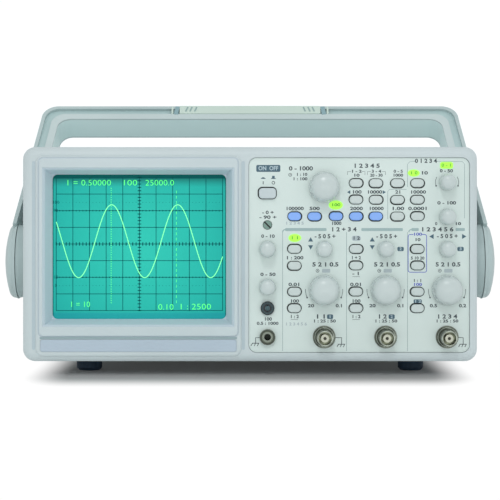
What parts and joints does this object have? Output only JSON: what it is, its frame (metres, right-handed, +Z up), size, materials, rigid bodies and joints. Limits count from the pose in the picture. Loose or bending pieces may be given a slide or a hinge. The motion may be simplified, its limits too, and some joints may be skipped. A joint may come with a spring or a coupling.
{
  "type": "bench oscilloscope",
  "caption": "Bench oscilloscope with a recessed screen, a panel of keys, knobs, push dials and bayonet sockets, sheet covers, rubber feet and a swinging carrying bail.",
  "frame": {"origin": "on the floor, below the middle of the bounding box", "axes": "+X to the right seen from the front, +Y to the back, +Z up"},
  "size_m": [0.3102, 0.3836, 0.1708],
  "materials": {
    "frame_plastic": "fine grain",
    "surround_plastic": "fine grain",
    "screen_glass": "tinted",
    "tube_glass": "clear grey",
    "panel_paint": "satin",
    "socket_metal": "nickel",
    "circuit_board": "solder mask",
    "chassis_sheet": "plated",
    "cover_paint": "fine texture",
    "foot_rubber": "matte",
    "handle_plastic": "fine grain",
    "grip_plastic": "fine grain",
    "key_plastic": "satin",
    "key_blue": "satin",
    "knob_plastic": "satin",
    "trimmer_brass": "turned",
    "shaft_steel": "turned"
  },
  "bodies": {
    "case": {"front_bezel": "frame_plastic", "screen_surround": "surround_plastic", "screen_filter": "screen_glass", "crt_tube": "tube_glass", "control_panel": "panel_paint", "front_sockets": "socket_metal", "electronics": "circuit_board", "chassis": "chassis_sheet", "upper_cover": "cover_paint", "lower_cover": "cover_paint", "rear_panel": "frame_plastic", "rear_sockets": "socket_metal", "case_feet": "foot_rubber", "handle_bosses": "handle_plastic"},
    "handle": {"handle_bail": "handle_plastic", "handle_grip": "grip_plastic"},
    "upper_key_1": {"upper_key_1": "key_plastic"},
    "upper_key_2": {"upper_key_2": "key_plastic"},
    "upper_key_3": {"upper_key_3": "key_plastic"},
    "upper_key_4": {"upper_key_4": "key_plastic"},
    "middle_key_1": {"middle_key_1": "key_plastic"},
    "middle_key_2": {"middle_key_2": "key_plastic"},
    "middle_key_3": {"middle_key_3": "key_plastic"},
    "middle_key_4": {"middle_key_4": "key_plastic"},
    "lower_key_1": {"lower_key_1": "key_blue"},
    "lower_key_2": {"lower_key_2": "key_blue"},
    "lower_key_3": {"lower_key_3": "key_blue"},
    "lower_key_4": {"lower_key_4": "key_blue"},
    "lower_key_5": {"lower_key_5": "key_blue"},
    "lower_key_6": {"lower_key_6": "key_plastic"},
    "lower_key_7": {"lower_key_7": "key_plastic"},
    "channel_1_key_1": {"channel_1_key_1": "key_plastic"},
    "channel_1_key_2": {"channel_1_key_2": "key_plastic"},
    "channel_1_key_3": {"channel_1_key_3": "key_plastic"},
    "channel_1_key_4": {"channel_1_key_4": "key_plastic"},
    "channel_2_key_1": {"channel_2_key_1": "key_plastic"},
    "channel_2_key_2": {"channel_2_key_2": "key_plastic"},
    "channel_2_key_3": {"channel_2_key_3": "key_plastic"},
    "channel_2_key_4": {"channel_2_key_4": "key_plastic"},
    "sweep_key_1": {"sweep_key_1": "key_plastic"},
    "sweep_key_2": {"sweep_key_2": "key_plastic"},
    "sweep_key_3": {"sweep_key_3": "key_plastic"},
    "sweep_key_4": {"sweep_key_4": "key_plastic"},
    "power_button": {"power_button": "key_plastic"},
    "intensity_knob": {"intensity_knob": "knob_plastic"},
    "focus_knob": {"focus_knob": "knob_plastic"},
    "position_1_knob": {"position_1_knob": "knob_plastic"},
    "position_2_knob": {"position_2_knob": "knob_plastic"},
    "position_x_knob": {"position_x_knob": "knob_plastic"},
    "level_knob": {"level_knob": "knob_plastic"},
    "holdoff_knob": {"holdoff_knob": "knob_plastic"},
    "rotation_trimmer": {"rotation_trimmer": "trimmer_brass"},
    "variable_shaft": {"variable_shaft": "shaft_steel"},
    "variable_dial": {"variable_dial": "knob_plastic"},
    "volts_1_shaft": {"volts_1_shaft": "shaft_steel"},
    "volts_1_dial": {"volts_1_dial": "knob_plastic"},
    "volts_2_shaft": {"volts_2_shaft": "shaft_steel"},
    "volts_2_dial": {"volts_2_dial": "knob_plastic"},
    "sweep_rate_shaft": {"sweep_rate_shaft": "shaft_steel"},
    "sweep_rate_dial": {"sweep_rate_dial": "knob_plastic"}
  },
  "joints": [
    {"name": "handle_swing", "type": "hinge", "parent": "case", "child": "handle", "pos_m": [0, -0.1232, 0.0679], "axis": [1, 0, 0], "range_deg": [0, 222]},
    {"name": "upper_key_1_press", "type": "slide", "parent": "case", "child": "upper_key_1", "axis": [0, 1, 0], "range_m": [0, 0.0008], "stiffness_N_per_m": 400},
    {"name": "upper_key_2_press", "type": "slide", "parent": "case", "child": "upper_key_2", "axis": [0, 1, 0], "range_m": [0, 0.0008], "stiffness_N_per_m": 400},
    {"name": "upper_key_3_press", "type": "slide", "parent": "case", "child": "upper_key_3", "axis": [0, 1, 0], "range_m": [0, 0.0008], "stiffness_N_per_m": 400},
    {"name": "upper_key_4_press", "type": "slide", "parent": "case", "child": "upper_key_4", "axis": [0, 1, 0], "range_m": [0, 0.0008], "stiffness_N_per_m": 400},
    {"name": "middle_key_1_press", "type": "slide", "parent": "case", "child": "middle_key_1", "axis": [0, 1, 0], "range_m": [0, 0.0008], "stiffness_N_per_m": 400},
    {"name": "middle_key_2_press", "type": "slide", "parent": "case", "child": "middle_key_2", "axis": [0, 1, 0], "range_m": [0, 0.0008], "stiffness_N_per_m": 400},
    {"name": "middle_key_3_press", "type": "slide", "parent": "case", "child": "middle_key_3", "axis": [0, 1, 0], "range_m": [0, 0.0008], "stiffness_N_per_m": 400},
    {"name": "middle_key_4_press", "type": "slide", "parent": "case", "child": "middle_key_4", "axis": [0, 1, 0], "range_m": [0, 0.0008], "stiffness_N_per_m": 400},
    {"name": "lower_key_1_press", "type": "slide", "parent": "case", "child": "lower_key_1", "axis": [0, 1, 0], "range_m": [0, 0.0008], "stiffness_N_per_m": 400},
    {"name": "lower_key_2_press", "type": "slide", "parent": "case", "child": "lower_key_2", "axis": [0, 1, 0], "range_m": [0, 0.0008], "stiffness_N_per_m": 400},
    {"name": "lower_key_3_press", "type": "slide", "parent": "case", "child": "lower_key_3", "axis": [0, 1, 0], "range_m": [0, 0.0008], "stiffness_N_per_m": 400},
    {"name": "lower_key_4_press", "type": "slide", "parent": "case", "child": "lower_key_4", "axis": [0, 1, 0], "range_m": [0, 0.0008], "stiffness_N_per_m": 400},
    {"name": "lower_key_5_press", "type": "slide", "parent": "case", "child": "lower_key_5", "axis": [0, 1, 0], "range_m": [0, 0.0008], "stiffness_N_per_m": 400},
    {"name": "lower_key_6_press", "type": "slide", "parent": "case", "child": "lower_key_6", "axis": [0, 1, 0], "range_m": [0, 0.0008], "stiffness_N_per_m": 400},
    {"name": "lower_key_7_press", "type": "slide", "parent": "case", "child": "lower_key_7", "axis": [0, 1, 0], "range_m": [0, 0.0008], "stiffness_N_per_m": 400},
    {"name": "channel_1_key_1_press", "type": "slide", "parent": "case", "child": "channel_1_key_1", "axis": [0, 1, 0], "range_m": [0, 0.0008], "stiffness_N_per_m": 400},
    {"name": "channel_1_key_2_press", "type": "slide", "parent": "case", "child": "channel_1_key_2", "axis": [0, 1, 0], "range_m": [0, 0.0008], "stiffness_N_per_m": 400},
    {"name": "channel_1_key_3_press", "type": "slide", "parent": "case", "child": "channel_1_key_3", "axis": [0, 1, 0], "range_m": [0, 0.0008], "stiffness_N_per_m": 400},
    {"name": "channel_1_key_4_press", "type": "slide", "parent": "case", "child": "channel_1_key_4", "axis": [0, 1, 0], "range_m": [0, 0.0008], "stiffness_N_per_m": 400},
    {"name": "channel_2_key_1_press", "type": "slide", "parent": "case", "child": "channel_2_key_1", "axis": [0, 1, 0], "range_m": [0, 0.0008], "stiffness_N_per_m": 400},
    {"name": "channel_2_key_2_press", "type": "slide", "parent": "case", "child": "channel_2_key_2", "axis": [0, 1, 0], "range_m": [0, 0.0008], "stiffness_N_per_m": 400},
    {"name": "channel_2_key_3_press", "type": "slide", "parent": "case", "child": "channel_2_key_3", "axis": [0, 1, 0], "range_m": [0, 0.0008], "stiffness_N_per_m": 400},
    {"name": "channel_2_key_4_press", "type": "slide", "parent": "case", "child": "channel_2_key_4", "axis": [0, 1, 0], "range_m": [0, 0.0008], "stiffness_N_per_m": 400},
    {"name": "sweep_key_1_press", "type": "slide", "parent": "case", "child": "sweep_key_1", "axis": [0, 1, 0], "range_m": [0, 0.0008], "stiffness_N_per_m": 400},
    {"name": "sweep_key_2_press", "type": "slide", "parent": "case", "child": "sweep_key_2", "axis": [0, 1, 0], "range_m": [0, 0.0008], "stiffness_N_per_m": 400},
    {"name": "sweep_key_3_press", "type": "slide", "parent": "case", "child": "sweep_key_3", "axis": [0, 1, 0], "range_m": [0, 0.0008], "stiffness_N_per_m": 400},
    {"name": "sweep_key_4_press", "type": "slide", "parent": "case", "child": "sweep_key_4", "axis": [0, 1, 0], "range_m": [0, 0.0008], "stiffness_N_per_m": 400},
    {"name": "power_button_press", "type": "slide", "parent": "case", "child": "power_button", "axis": [0, 1, 0], "range_m": [-0.003, 0.0012]},
    {"name": "intensity_knob_turn", "type": "hinge", "parent": "case", "child": "intensity_knob", "pos_m": [0.0106, -0.1782, 0.0769], "axis": [0, 1, 0], "range_deg": [-150, 150]},
    {"name": "focus_knob_turn", "type": "hinge", "parent": "case", "child": "focus_knob", "pos_m": [0.0106, -0.1782, 0.0539], "axis": [0, 1, 0], "range_deg": [-150, 150]},
    {"name": "position_1_knob_turn", "type": "hinge", "parent": "case", "child": "position_1_knob", "pos_m": [0.045, -0.1782, 0.0769], "axis": [0, 1, 0], "range_deg": [-150, 150]},
    {"name": "position_2_knob_turn", "type": "hinge", "parent": "case", "child": "position_2_knob", "pos_m": [0.0823, -0.1782, 0.0769], "axis": [0, 1, 0], "range_deg": [-150, 150]},
    {"name": "position_x_knob_turn", "type": "hinge", "parent": "case", "child": "position_x_knob", "pos_m": [0.1196, -0.1782, 0.0769], "axis": [0, 1, 0], "range_deg": [-150, 150]},
    {"name": "level_knob_turn", "type": "hinge", "parent": "case", "child": "level_knob", "pos_m": [0.1196, -0.1782, 0.1174], "axis": [0, 1, 0], "range_deg": [-150, 150]},
    {"name": "holdoff_knob_turn", "type": "hinge", "parent": "case", "child": "holdoff_knob", "pos_m": [0.1196, -0.1782, 0.0964], "axis": [0, 1, 0], "range_deg": [-150, 150]},
    {"name": "rotation_trimmer_turn", "type": "hinge", "parent": "case", "child": "rotation_trimmer", "pos_m": [0.0106, -0.1772, 0.0915], "axis": [0, 1, 0], "range_deg": [-150, 150]},
    {"name": "variable_push", "type": "slide", "parent": "case", "child": "variable_shaft", "axis": [0, 1, 0], "range_m": [0, 0.001], "stiffness_N_per_m": 600},
    {"name": "variable_turn", "type": "hinge", "parent": "variable_shaft", "child": "variable_dial", "pos_m": [0.045, -0.1782, 0.1145], "axis": [0, 1, 0], "continuous": true},
    {"name": "volts_1_push", "type": "slide", "parent": "case", "child": "volts_1_shaft", "axis": [0, 1, 0], "range_m": [0, 0.001], "stiffness_N_per_m": 600},
    {"name": "volts_1_turn", "type": "hinge", "parent": "volts_1_shaft", "child": "volts_1_dial", "pos_m": [0.045, -0.1782, 0.052], "axis": [0, 1, 0], "continuous": true},
    {"name": "volts_2_push", "type": "slide", "parent": "case", "child": "volts_2_shaft", "axis": [0, 1, 0], "range_m": [0, 0.001], "stiffness_N_per_m": 600},
    {"name": "volts_2_turn", "type": "hinge", "parent": "volts_2_shaft", "child": "volts_2_dial", "pos_m": [0.0823, -0.1782, 0.052], "axis": [0, 1, 0], "continuous": true},
    {"name": "sweep_rate_push", "type": "slide", "parent": "case", "child": "sweep_rate_shaft", "axis": [0, 1, 0], "range_m": [0, 0.001], "stiffness_N_per_m": 600},
    {"name": "sweep_rate_turn", "type": "hinge", "parent": "sweep_rate_shaft", "child": "sweep_rate_dial", "pos_m": [0.1196, -0.1782, 0.052], "axis": [0, 1, 0], "continuous": true}
  ]
}
